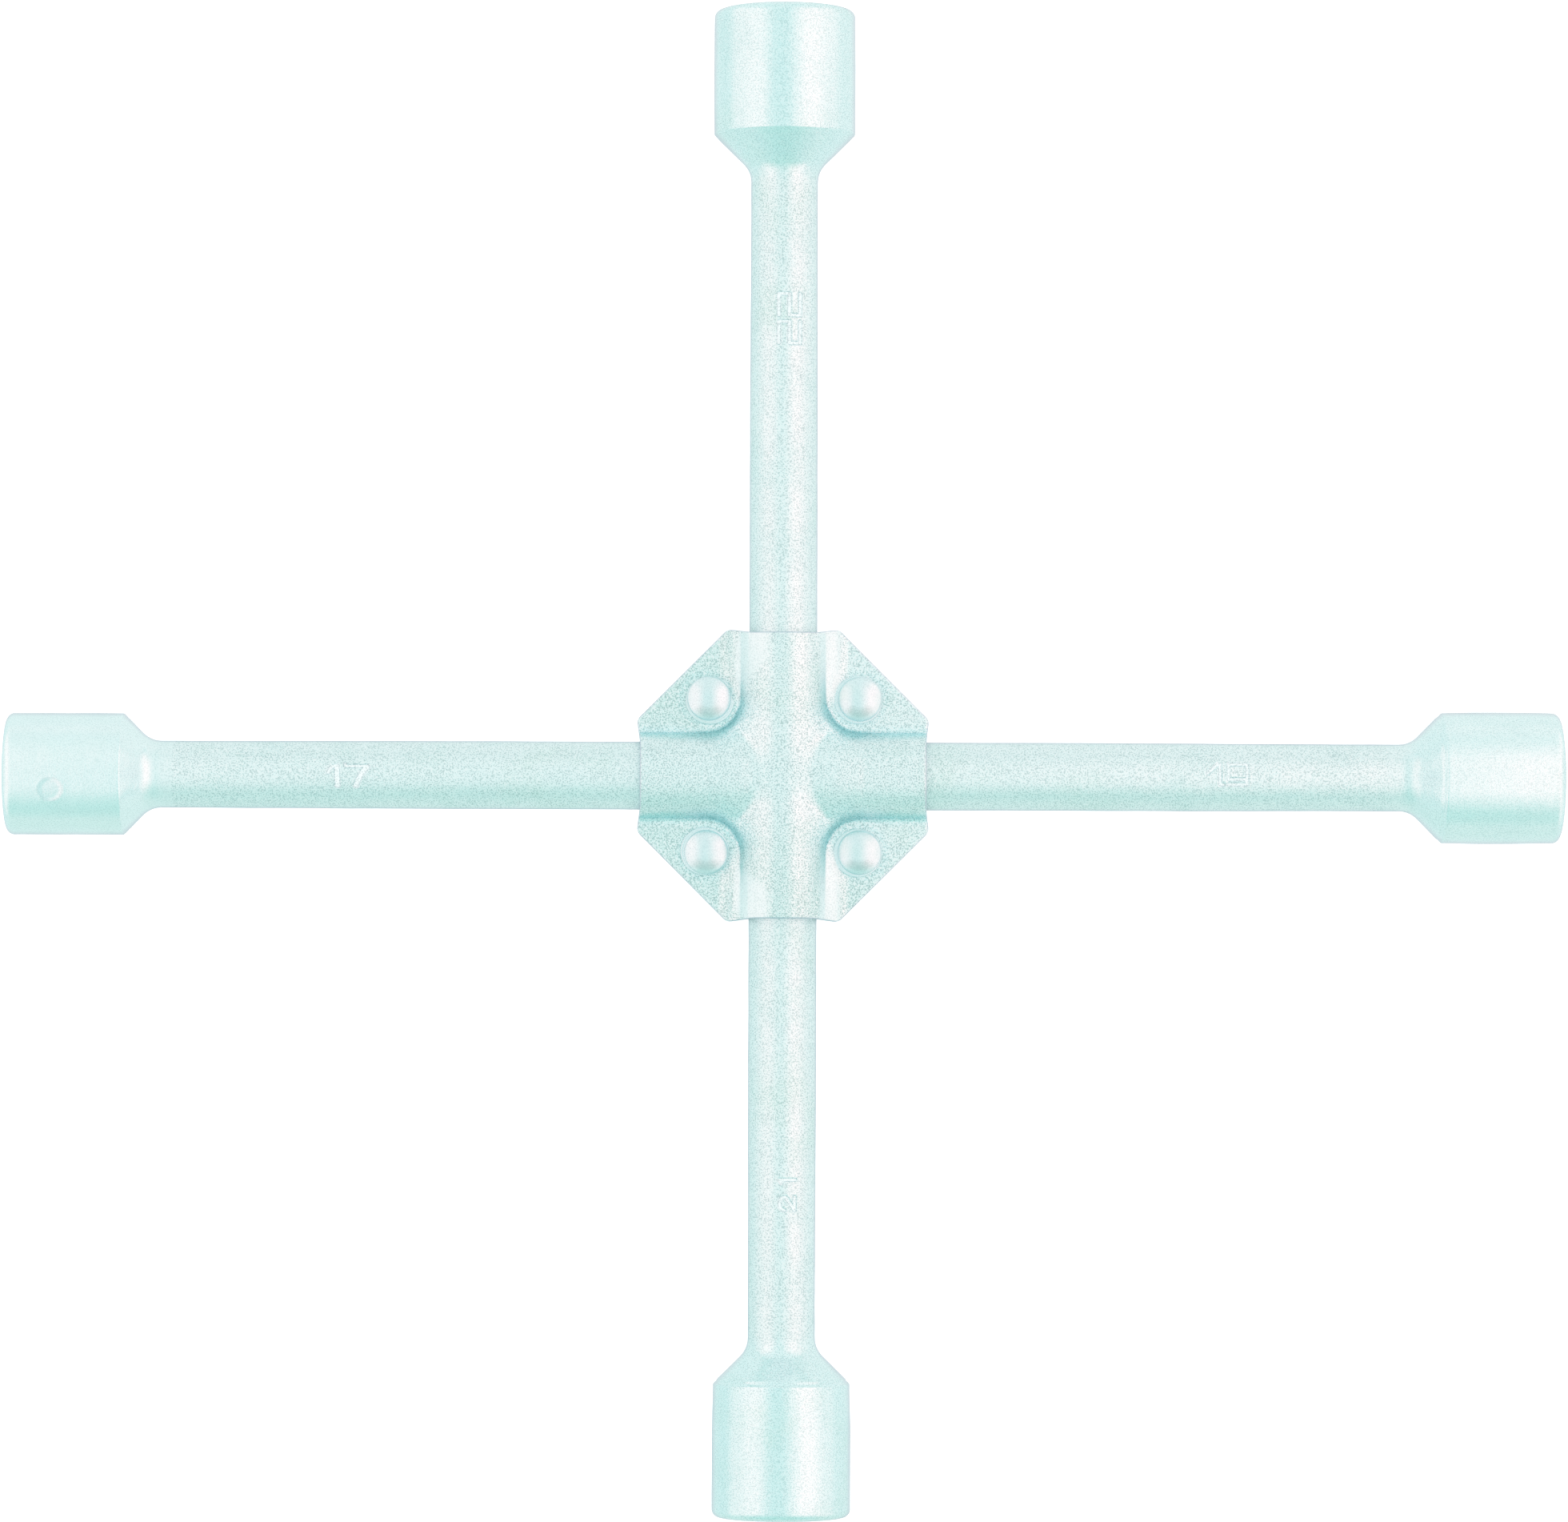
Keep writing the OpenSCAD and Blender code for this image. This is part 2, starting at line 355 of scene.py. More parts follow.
# The round test mark, a shallow dish with a raised rim.
SPOT_ON = "socket_17"
SPOT_FROM_MOUTH = 11.4
SPOT_TURN = 16.5                    # from the front towards the arm's left, in degrees
SPOT_R = 2.75
SPOT_DEPTH = 0.14
SPOT_WALL = 0.5
SPOT_RIM = 0.04                     # height of the rim
SPOT_RIM_W = 0.2

SOCKET_TURN = 1.5                   # mesh spacing round a socket, in degrees
SOCKET_CELL = 0.5                   # and along its outside


def socket_outline(length, outer_r, barrel_z, bevel_r):
    """Outside of a socket from its weld to its lead-in bevel, as distance and radius."""
    neck_r = BAR_R - BAR_THINNING
    fillet_z = barrel_z - outer_r + BAR_R
    outline = rounded([
        (0, 0, 0), (0, neck_r, 0), (fillet_z, neck_r, NECK_FILLET), (barrel_z, outer_r, CONE_EDGE),
        (length, outer_r, MOUTH_ROUND), (length, bevel_r + 0.01, BEVEL_ROUND),
        (length - BEVEL_ROUND, bevel_r, 0),
    ])
    return subdivided(outline[:-1], SOCKET_CELL)


def socket_recess(size, bevel_r, turn):
    """Rings down a recess, as radius and depth: lead-in bevel, hex, step and drilled stud pocket."""
    wall = hex_radius(size, turn)
    stud_r = STUD_RATIO * size
    tip_h = stud_r * math.tan(math.radians(DRILL_TIP))
    level = 0 * wall
    bevel_h = bevel_r - wall
    rings = [(bevel_r - bevel_h * k, bevel_h * k) for k in np.linspace(0, 1, 5)]
    rings += [(wall, bevel_h + (HEX_DEPTH - bevel_h) * k) for k in np.linspace(0, 1, 24)[1:]]
    rings += [(wall + (stud_r - wall) * k, HEX_DEPTH + level) for k in np.linspace(0, 1, 5)[1:]]
    rings += [(stud_r + level, depth + level) for depth in np.linspace(HEX_DEPTH, STUD_DEPTH, 9)[1:]]
    rings += [(stud_r * (1 - k) + level, STUD_DEPTH + tip_h * k + level) for k in np.linspace(0, 1, 5)[1:]]
    return rings


def test_mark(away):
    """Change of radius at each distance from the middle of the test mark."""
    dish = -SPOT_DEPTH * (1 - smoothstep(SPOT_R - SPOT_WALL, SPOT_R, away))
    rim = SPOT_RIM * np.exp(-(((away - SPOT_R - SPOT_RIM_W) / SPOT_RIM_W) ** 2))
    return dish + rim


def forged_socket(node, material):
    """A socket as a lathe whose inside follows the hex: neck, cone, barrel, mouth and recess."""
    angle, paleness, swell = SOCKETS[node]
    size = int(node.split("_")[1])
    axis = arm_axes(angle)[0]
    lo, hi = box_mm(node)
    weld, reach = sorted(abs(corner @ axis) for corner in (lo, hi))
    outer_r = hi[2]
    length = reach - weld
    barrel_z = NECK_L + NECK_FILLET * math.tan(math.radians(22.5)) + outer_r - BAR_R
    bevel_r = (size + HEX_PLAY) / 2 / math.cos(math.radians(30)) + LEAD_IN
    turn = np.radians(np.arange(0, 360, SOCKET_TURN))

    outline = socket_outline(length, outer_r, barrel_z, bevel_r)
    along = outline[:, 0]
    share = np.clip((along - barrel_z) / (length - MOUTH_ROUND - barrel_z), 0, 1)
    on_barrel = (outline[:, 1] > outer_r - MOUTH_ROUND) & (along > barrel_z - 1)
    outside_r = outline[:, 1] + np.where(on_barrel, swell(share), 0)
    outside = round_arm(angle, weld + along[:, None], outside_r[:, None], turn[None, :])

    # Unevenness of the forging, faded out at the weld and at the turned mouth.
    fade = smoothstep(0, 4, along) * (1 - smoothstep(length - 3, length - 1, along))
    push = forging_waves(outside) * fade[:, None]
    spot = round_arm(angle, reach - SPOT_FROM_MOUTH, outer_r, math.radians(SPOT_TURN))
    if node == SPOT_ON:
        push = push + test_mark(np.linalg.norm(outside - spot, axis=-1))
    outside = round_arm(angle, weld + along[:, None], outside_r[:, None] + push, turn[None, :])
    recess = socket_recess(size, bevel_r, turn)
    inside = np.array([round_arm(angle, reach - depth, radius, turn) for radius, depth in recess])

    skin = Skin()
    skin.add(np.vstack([outside, inside]), wrap=True)
    piece = skin.piece(f"forged_socket_{size}", node, "socket_zinc", material)
    points = mesh_points(piece)
    s = points @ axis
    radius = np.linalg.norm(points - s[:, None] * axis, axis=1)
    outline_r = np.interp(s - weld, along, outline[:, 1])
    in_bore = radius < np.minimum(outline_r - 1, bevel_r + 0.02)
    deep = 1 - smoothstep(reach - 9, reach - 1, s)
    # Painted shade in the recess, stronger deeper in.
    add_mask(piece, "shaded_bore", in_bore * (0.35 + 0.65 * deep))
    add_mask(piece, "pale", np.full(len(points), paleness))
    add_mask(piece, "neck", 1 - smoothstep(0, NECK_L + NECK_FILLET, s - weld))
    if node == SPOT_ON:
        away = np.linalg.norm(points - spot, axis=1)
        add_mask(piece, "spot", 1 - smoothstep(SPOT_R - 0.2, SPOT_R + 0.25, away))
    return piece


BAR_CELL = 1.25                     # mesh spacing along a plain stretch of bar
BAR_TURN = 5.0                      # and round it, in degrees


def bar_rows(lo, hi, centres):
    """Places along a bar for its rings, which are close together over each stamp."""
    rows = set(np.round(np.arange(math.ceil(lo), math.floor(hi) + 1, BAR_CELL), 3)) | {lo, hi}
    for centre in centres:
        rows = {s for s in rows if abs(s - centre) > STAMP_SPAN}
        rows |= set(np.round(np.arange(centre - STAMP_SPAN, centre + STAMP_SPAN, STAMP_CELL), 3))
    return sorted(s for s in rows if lo <= s <= hi)


def stamps_on(node, lo, hi):
    """Place along the bar, place across it, way up, depth and strokes of each stamp on a bar."""
    return [
        (hi - inset if end else lo + inset, across, way_up, depth, strokes)
        for bar, end, inset, across, way_up, depth, strokes in STAMPS if bar == node
    ]


def press_stamps(radius, s, turn, stamps):
    """Sinks the stamps into a grid of radii; s and turn are its rows and columns."""
    for centre, across, way_up, depth, strokes in stamps:
        near = abs(s - centre) <= STAMP_SPAN
        x = way_up * (s[near][:, None] - centre)
        y = way_up * (BAR_R * np.sin(turn)[None, :] - across)
        edge = stroke_distance(*np.broadcast_arrays(x, y), strokes)
        edge = np.where(np.cos(turn) > 0, edge, FAR_AWAY)
        lip = np.exp(-(((edge - STAMP_LIP_AT) / STAMP_LIP_W) ** 2))
        radius[near] += STAMP_LIP * lip - depth * pressed_in(edge)


def in_order(rings, axis):
    """The same rings, sorted along the axis by their first point."""
    return rings[np.argsort((rings @ axis)[:, 0], kind="stable")]


def halved(grid, places, angle, turn, keep):
    """Rings of a bar with the notch cut: flat between two rings that appear whole and cut."""
    axis = arm_axes(angle)[0]
    ends = np.array([round_arm(angle, place, BAR_R, turn) for place in (-LAP_HALF, LAP_HALF)])
    cut = in_order(np.vstack([ends, grid[abs(places) < LAP_HALF]]), axis)
    if keep > 0:
        cut[..., 2] = np.maximum(cut[..., 2], LAP_PLAY)
    else:
        cut[..., 2] = np.minimum(cut[..., 2], -LAP_PLAY)
    uncut = in_order(np.vstack([grid[abs(places) > LAP_HALF], ends]), axis)
    after = (uncut @ axis)[:, 0] > 0
    return np.vstack([uncut[~after], cut, uncut[after]])


def round_bar(node, angle, keep, material):
    """A bar with its stamps, halved at the crossing; keep is 1 to keep its upper half, else -1."""
    axis, left = arm_axes(angle)
    lo, hi = (corner @ axis for corner in box_mm(node))
    stamps = stamps_on(node, lo, hi)
    s = np.array(bar_rows(lo, hi, [stamp[0] for stamp in stamps]))
    turn = np.radians(np.concatenate([
        np.arange(-STAMP_ARC, STAMP_ARC, math.degrees(STAMP_CELL / BAR_R)),
        np.arange(STAMP_ARC, 360 - STAMP_ARC, BAR_TURN),
    ]))
    radius = bar_radius(s, np.where(s > 0, hi, -lo))[:, None] + 0 * turn
    points = round_arm(angle, s[:, None], radius, turn[None, :])
    off_weld = smoothstep(0, 4, np.minimum(s - lo, hi - s))
    clear_of_hub = smoothstep(HALF_PLATE, HALF_PLATE + 4, abs(s))
    radius = radius + forging_waves(points) * (off_weld * clear_of_hub)[:, None]
    press_stamps(radius, s, turn, stamps)

    # A ring of no radius closes each end.
    places = np.concatenate([[lo], s, [hi]])
    radius = np.vstack([0 * turn, radius, 0 * turn])
    grid = round_arm(angle, places[:, None], radius, turn[None, :])
    skin = Skin()
    skin.add(halved(grid, places, angle, turn, keep), wrap=True)
    piece = skin.piece(f"round_{node}", node, "bar_zinc", material)

    points = mesh_points(piece)
    mask = np.zeros(len(points))
    for centre, across, way_up, depth, strokes in stamps:
        x = way_up * (points @ axis - centre)
        y = way_up * (points @ left - across)
        mask += pressed_in(stroke_distance(x, y, strokes)) * (points[:, 2] > 0)
    add_mask(piece, "stamp", mask)
    return piece


# ---------------------------------------------------------------- stamped plates

ARC_STEPS = 40                      # stations round each inside corner of the cross
STAR_ROWS = 7                       # rows between a bar axis and the edge of the flat crest
EAR_ROWS = 20
RAMP_TOP = 14.2                     # the slopes begin this far from the bar's axis
RAMP_START = 15.0                   # and fade out this near to the hub's centre
RAMP_BLEND = 1.6
RAMP_RUN = 6.0                      # the slopes rise no further in than this
# Slope of the ears beside the upright channel at the plate's edge, in degrees, and the widest
# blend of that slope with the channel, for the right and the left side of the plate.
RIGHT_FOLD = (30.0, 2.0)
LEFT_FOLD = (34.0, 3.8)
RIDGE_DIP = 0.5                     # the level channel is this much lower where they cross
RIDGE_BLEND = 2.4
HUB_CROWN = 0.5                     # the sheet bulges this much over the crossing
EAR_DROOP = 0.3                     # the ears' corners hang this much lower


def sheet_profile():
    """Half-section of a channel: outside points, then inside points, from crest to toe."""
    foot_z = FLANGE_TOP + FOOT_FILLET
    foot_u = CREST_FLAT + math.sqrt((CREST_R + FOOT_FILLET) ** 2 - foot_z**2)
    join = math.atan2(foot_z, foot_u - CREST_FLAT)
    crest = [np.array([math.cos(a), math.sin(a)]) for a in np.linspace(math.pi / 2, join, 30)]
    foot_turns = np.linspace(math.pi + join, 1.5 * math.pi, 11)[1:]
    foot = [np.array([math.cos(a), math.sin(a)]) for a in foot_turns]
    hub = np.array([CREST_FLAT, 0])
    centre = np.array([foot_u, foot_z])
    outside = [hub + CREST_R * n for n in crest] + [centre + FOOT_FILLET * n for n in foot]
    inside = [hub + (CREST_R - SHEET_T) * n for n in crest]
    inside += [centre + (FOOT_FILLET + SHEET_T) * n for n in foot]
    return np.array(outside), np.array(inside)


def end_pull(u):
    """How far the end of a channel is drawn in, at distance u from its axis."""
    return END_PULL * (1 - smoothstep(6.5, HALF_PLATE - CORNER_CUT, u))


def channel_stations(inset):
    """Start, direction and axis point of each station along one inside corner of the cross."""
    c = RIVET_AT
    straight = np.linspace(HALF_PLATE - inset, c, 25)[:-1]
    start = [(x, 0.0) for x in straight]
    direction = [(0.0, 1.0)] * len(straight)
    axis_point = list(start)
    for b in np.radians(np.linspace(0, 90, ARC_STEPS + 1)):
        d = (math.sin(b), math.cos(b))
        start.append((c - c * d[0], c - c * d[1]))
        direction.append(d)
        axis_point.append((c - c * d[0] / max(d), c - c * d[1] / max(d)))
    start += [(0.0, y) for y in straight[::-1]]
    direction += [(1.0, 0.0)] * len(straight)
    axis_point += [(0.0, y) for y in straight[::-1]]
    return np.array(start), np.array(direction), np.array(axis_point)


def ramp_lift(x, y, steepest):
    """Rise of the ears towards the upright channel, near its ends."""
    slope = steepest * smoothstep(RAMP_START, HALF_PLATE, abs(y)) ** 0.45
    run = np.minimum(smooth_max(RAMP_TOP - abs(x), 0 * x, RAMP_BLEND), RAMP_RUN)
    return np.tan(np.radians(slope)) * run


def crossed_channels(x, y, rise_at, dip_reach):
    """Rise of the two channels over the flange, where the upright one runs on over the other.

    rise_at gives a lone channel's rise at a distance from its axis, and dip_reach the distances
    from the centre over which the level channel comes back up to its full height.
    """
    a, b = abs(x), abs(y)
    corner_r = np.hypot(a - RIVET_AT, b - RIVET_AT)
    dip = RIDGE_DIP * (1 - smoothstep(*dip_reach, a))
    blend = RIDGE_BLEND * (1 - smoothstep(11, 17, np.maximum(a, b)))
    ridges = smooth_max(rise_at(a), rise_at(b) - dip, blend)
    ridges = ridges + HUB_CROWN * (1 - smoothstep(9, 22, np.hypot(a, b)))
    by_corner = 1 - smoothstep(8, 16.5, corner_r)
    swept = by_corner * rise_at(RIVET_AT - corner_r) + (1 - by_corner) * ridges
    return np.where((a > RIVET_AT) | (b > RIVET_AT), rise_at(np.minimum(a, b)), swept)


def plate_height(x, y, outer, fold):
    """Height of the outer or inner side of the sheet at plan points of the front plate."""
    profile = sheet_profile()[0 if outer else 1]
    level = FLANGE_TOP if outer else FLANGE_LO
    dip_reach = (3, 14) if outer else (4, 8)
    steepest, widest_blend = fold

    def rise_at(u):
        return np.interp(u, profile[:, 0], profile[:, 1] - level)

    rise = crossed_channels(x, y, rise_at, dip_reach)
    lift = ramp_lift(x, y, steepest)
    to_nearer_axis = np.minimum(abs(x), abs(y))
    droop = EAR_DROOP * smoothstep(11.6, 15, to_nearer_axis) * smoothstep(30, 46, abs(x) + abs(y))
    return level + smooth_max(rise, lift, np.clip(2.5 * lift, 0, widest_blend)) - droop


# Strengths of the painted shade in the hollows of the sheet, and widths of its soft bands.
FOOT_SHADE, FOOT_BAND = 0.72, 1.2
CORNER_SHADE = 0.55
RIVET_SHADE, RIVET_BAND = 0.3, 0.9


def hollow_share(x, y):
    """Painted shade: how far plan points lie in the channels' feet, the cross's inside corners or round a
    rivet.
    """
    a, b = abs(x), abs(y)
    from_rivet = np.hypot(a - RIVET_AT, b - RIVET_AT)
    in_corner = (a < RIVET_AT) & (b < RIVET_AT)
    u = np.where(in_corner, RIVET_AT - from_rivet, np.minimum(a, b))
    on_flat = 1 - smoothstep(0.1, 0.9, ramp_lift(x, y, RIGHT_FOLD[0]))
    foot = FOOT_SHADE * np.exp(-(((u - FOOT_AT) / FOOT_BAND) ** 2)) * on_flat
    corner = smoothstep(4, 9, u) * (1 - smoothstep(11, 12.5, u))
    corner = CORNER_SHADE * corner * (1 - smoothstep(14, 18, np.maximum(a, b)))
    by_rivet = RIVET_SHADE * np.exp(-(((from_rivet - BRIM_R - 0.3) / RIVET_BAND) ** 2))
    return np.maximum(np.maximum(foot, corner), by_rivet)


def painted_highlight_share(x, y):
    """Painted highlight on the sheet: the slopes, and on the left the channel's side as well."""
    a, b = abs(x), abs(y)
    slope = smoothstep(8.2, 9.2, a) * (1 - smoothstep(12.6, 14.0, a)) * smoothstep(16, 21, b)
    inner = 3.5 + 5.5 * (1 - smoothstep(21, 28, b))
    outer = 11.5 - 3 * smoothstep(31, 35, b)
    side = smoothstep(inner - 1.5, inner + 1.5, a) * (1 - smoothstep(outer - 0.8, outer + 0.4, a))
    return np.where(x > 0, slope, side * smoothstep(19, 23, b))


def painted_edge_shade_share(x, y):
    """Painted shade: 1 on the sheared edge of the sheet and 0 inside it."""
    a, b = abs(x), abs(y)
    past_side = np.maximum(a, b) + end_pull(np.minimum(a, b)) - HALF_PLATE
    past_corner = (a + b - 2 * HALF_PLATE + CORNER_CUT) / math.sqrt(2)
    return smoothstep(-0.35, -0.05, np.maximum(past_side, past_corner))


def green_share(x, y):
    """Greener colour towards the lower part of the sheet and on its ears on the left."""
    left_ear = smoothstep(10, 13, -x) * smoothstep(10, 13, abs(y))
    return np.maximum(1 - smoothstep(-28, -4, 0.3 * x + y), left_ear)


# Masks of the sheet: painted shade in its hollows and on its edges, a painted highlight on its slopes, and
# its greener parts.
PLATE_MASKS = {"hollow": hollow_share, "edge": painted_edge_shade_share, "pale": painted_highlight_share, "tint": green_share}


def on_sheet(plan, outer, fold):
    """Plan points with their height on one side of the sheet."""
    height = plate_height(plan[..., 0], plan[..., 1], outer, fold)
    return np.concatenate([plan, height[..., None]], axis=-1)


def ear_outline(inset, toe):
    """Outline of one ear from the X arm's toe to the Y arm's toe, drawn in by inset."""
    h = HALF_PLATE
    c = h - CORNER_CUT
    cut = inset * (math.sqrt(2) - 1)
    corners = [
        (h - inset, toe, 0), (h - inset, c - cut, PLATE_CORNER_R), (c - cut, h - inset, PLATE_CORNER_R),
        (toe, h - inset, 0),
    ]
    line = subdivided(rounded(corners, arc_step=6), 0.7)
    pulled = line.copy()
    pulled[:, 0] -= end_pull(line[:, 1]) * (line[:, 0] > line[:, 1])
    pulled[:, 1] -= end_pull(line[:, 0]) * (line[:, 1] > line[:, 0])
    return pulled


def quarter_sheet(outer, fold):
    """Channel grid, ear rings and open edge of one quarter of a plate, on one side of the sheet."""
    u = sheet_profile()[0 if outer else 1][:, 0]
    start, direction, axis_point = channel_stations(SHEET_EDGE)
    plan = start + direction * u[:, None, None]
    pull = end_pull(u)[:, None] / (HALF_PLATE - RIVET_AT)
    for k in (0, 1):
        plan[..., k] -= np.maximum(start[:, k] - RIVET_AT, 0) * pull
    star = [axis_point + (plan[0] - axis_point) * k / STAR_ROWS for k in range(STAR_ROWS)]
    for row in star:
        for k in (0, 1):
            beyond = start[:, k] >= RIVET_AT
            row[beyond, k] = plan[0][beyond, k]
    plan = np.concatenate([np.array(star), plan])

    outline = ear_outline(SHEET_EDGE, u[-1])
    border = np.vstack([plan[-1], outline[::-1][1:-1]])
    rivet = np.array([RIVET_AT, RIVET_AT])
    away = border - rivet
    hole = rivet + HOLE_R * away / np.linalg.norm(away, axis=1)[:, None]
    ear = hole + (border - hole) * np.linspace(0, 1, EAR_ROWS)[:, None, None]
    edge = np.vstack([plan[:, 0], outline[1:-1], plan[::-1, -1]])
    return [on_sheet(part, outer, fold) for part in (plan, ear, edge)]


def sheared_edge(top, bottom):
    """Wall between the two sides of the sheet, with its corners rounded over."""
    through = top - bottom
    through = through / np.linalg.norm(through, axis=1)[:, None]
    tangent = np.gradient(top[:, :2], axis=0)
    outward = np.stack([-tangent[:, 1], tangent[:, 0], 0 * top[:, 0]], axis=1)
    outward = outward / np.linalg.norm(outward, axis=1)[:, None]
    outward *= np.sign(np.sum(outward[:, :2] * top[:, :2], axis=1))[:, None]
    outward[0], outward[-1] = (1, 0, 0), (0, 1, 0)
    rows = [top]
    for a in np.radians([30, 60, 90]):
        rows.append(top + SHEET_EDGE * (math.sin(a) * outward - (1 - math.cos(a)) * through))
    for a in np.radians([90, 60, 30]):
        rows.append(bottom + SHEET_EDGE * (math.sin(a) * outward + (1 - math.cos(a)) * through))
    return np.array(rows + [bottom])


def stamped_plate(node, side, material):
    """A plate of four mirrored quarters; side is 1 for the front and -1 for the rear."""
    skin = Skin()
    for sx, fold in ((1, RIGHT_FOLD), (-1, LEFT_FOLD)):
        top_channel, top_ear, top_edge = quarter_sheet(True, fold)
        low_channel, low_ear, low_edge = quarter_sheet(False, fold)
        wall = sheared_edge(top_edge, low_edge)
        hole_wall = np.array([top_ear[0], low_ear[0]])
        for sy in (1, -1):
            flip = np.array([sx, sy, side])
            skin.add(top_channel * flip)
            skin.add(low_channel * flip)
            skin.add(wall * flip)
            for ring in (top_ear, low_ear, hole_wall):
                skin.add(ring * flip, wrap=True)
    piece = skin.piece(f"stamped_{node}", node, "plate_zinc", material, sharp=40)
    points = mesh_points(piece)
    for name, share in PLATE_MASKS.items():
        add_mask(piece, name, share(points[:, 0], points[:, 1]))
    return piece


# ---------------------------------------------------------------- rivets

RIVET_TURN = 3.75                   # mesh spacing round a rivet, in degrees
# How far each rivet's dome and its brim lie off the middle of its hole, along X and Y.
HEAD_OFFSETS = {
    "rivet_upper_left": ((0.6, 0.1), (0.8, -0.3)),
    "rivet_upper_right": ((0.0, 0.0), (-0.35, -0.15)),
    "rivet_lower_left": ((0.0, 0.0), (-0.3, 0.25)),
    "rivet_lower_right": ((0.0, 0.0), (-0.4, -0.1)),
}


def rivet_outline(brim_top, seat):
    """Outline of a rivet from the top of its front head to the top of its rear head."""
    ball_r = (DOME_R**2 + DOME_H**2) / (2 * DOME_H)
    edge_angle = math.asin(DOME_R / ball_r)
    dome = [
        (ball_r * math.sin(a), HEAD_TOP - ball_r + ball_r * math.cos(a))
        for a in np.linspace(0, edge_angle, 22)[:-1]
    ]
    below = rounded([
        dome[-1] + (0,), (DOME_R, HEAD_TOP - DOME_H, 0.7), (DOME_R, brim_top, 0.15),
        (BRIM_R, brim_top, 0.22), (BRIM_R, seat, 0.12), (SHANK_R, seat, 0), (SHANK_R, 0, 0),
    ], arc_step=18)
    half = np.vstack([dome[:-1], subdivided(below, 0.6)])
    return np.vstack([half, half[-2::-1] * (1, -1)])


def domed_rivet(node, material):
    """A rivet as a lathe: dome and brim at the front, shank, and the same head at the rear."""
    lo, hi = box_mm(node)
    centre = (lo + hi) / 2
    brim_top = HEAD_TOP - DOME_H - SKIRT
    seat = brim_top - BRIM_T
    outline = rivet_outline(brim_top, seat)
    out, up = outline[:, 0], outline[:, 1]
    # The heads stand off the hole's middle, the rear one the other way, and the shank doesn't.
    on_head = (abs(up) > brim_top) | ((abs(up) >= seat - 1e-6) & (out > SHANK_R))
    head = np.where(on_head, np.sign(up), 0)
    brim = smoothstep(DOME_R + 0.05, DOME_R + 0.5, out)
    dome_off, brim_off = np.array(HEAD_OFFSETS[node])

    turn = np.radians(np.arange(0, 360, RIVET_TURN))
    grid = np.zeros((len(outline), len(turn), 3))
    for k, wave in enumerate((np.cos(turn), np.sin(turn))):
        offset = head * (dome_off[k] + (brim_off[k] - dome_off[k]) * brim)
        grid[..., k] = centre[k] + out[:, None] * wave + offset[:, None]
    grid[..., 2] = up[:, None]
    skin = Skin()
    skin.add(grid, wrap=True)
    piece = skin.piece(f"domed_{node}", node, "rivet_zinc", material, sharp=50)

    # Painted dark reflection: a band on the -Y side of each dome.
    around = mesh_points(piece)[:, :2] - centre[:2] - dome_off
    radius = np.hypot(*around.T)
    band = smoothstep(1.6, 3.0, radius) * (1 - smoothstep(3.9, 4.7, radius))
    add_mask(piece, "shade", band * smoothstep(0.45, 0.9, -around[:, 1] / np.maximum(radius, 0.1)))
    return piece


# ---------------------------------------------------------------- materials


class Nodes:
    """A short way to add shader nodes to a material or a world and link them."""

    def __init__(self, owner):
        owner.use_nodes = True
        self.tree = owner.node_tree
        self.tree.nodes.clear()

    def add(self, kind, inputs=None, **settings):
        node = self.tree.nodes.new("ShaderNode" + kind)
        for name, value in settings.items():
            setattr(node, name, value)
        for key, value in (inputs or {}).items():
            if isinstance(value, bpy.types.NodeSocket):
                self.tree.links.new(value, node.inputs[key])
            else:
                node.inputs[key].default_value = value
        return node

    def math(self, operation, a, b=0.0):
        return self.add("Math", {0: a, 1: b}, operation=operation).outputs[0]

    def ramp(self, value, lo, hi, out_lo=0.0, out_hi=1.0):
        """out_lo up to lo, out_hi from hi on, and a smooth S between them; hi may be below lo."""
        ranges = {"Value": value, "From Min": lo, "From Max": hi, "To Min": out_lo, "To Max": out_hi}
        return self.add("MapRange", ranges, interpolation_type="SMOOTHSTEP").outputs[0]

    def times(self, *factors):
        product = factors[0]
        for factor in factors[1:]:
            product = self.math("MULTIPLY", product, factor)
        return product

    def plus(self, *terms):
        total = terms[0]
        for term in terms[1:]:
            total = self.math("ADD", total, term)
        return total

    def rest_of(self, share):
        return self.math("SUBTRACT", 1.0, share)

    def mix(self, factor, a, b, blend="MIX"):
        node = self.add("Mix", {0: factor}, data_type="RGBA", blend_type=blend)
        for slot, value in ((node.inputs[6], a), (node.inputs[7], b)):
            if isinstance(value, bpy.types.NodeSocket):
                self.tree.links.new(value, slot)
            else:
                slot.default_value = (*value, 1)
        return node.outputs[2]

    def noise(self, vector, scale, detail=2.0, rough=0.5):
        inputs = {"Vector": vector, "Scale": scale, "Detail": detail, "Roughness": rough}
        return self.add("TexNoise", inputs).outputs[0]

    def mask(self, name):
        return self.add("Attribute", attribute_name=name).outputs["Fac"]


BAR_TONE = (0.83, 1.0, 1.0)
BAR_ROUGH = 0.43
BAR_PITS = 0.70
DULL_TEAL = (0.62, 0.90, 0.89)      # broad duller clouds
OLIVE = (0.70, 0.92, 0.84)          # and the widest blotches
GREEN_TINT = (0.66, 0.90, 0.87)
PALE_ZINC = (0.84, 1.0, 1.0)        # the raised parts of the orange peel
PAINTED_SHADE_CYAN = (0.58, 0.96, 0.99)    # painted shade in the folds and feet of the sheet
# painted highlight in the strokes of the stamps
PAINTED_STAMP_HIGHLIGHT = (0.91, 1.0, 1.0)
SPOT_GREY = (0.58, 0.78, 0.82)
SHADE_GREY = (0.62, 0.76, 0.76)     # a painted dark reflection on the -Y side of each rivet head
PAINTED_WALL_SHADE = (0.34, 0.54, 0.58)      # painted shade on the walls of the stamps and of the test mark
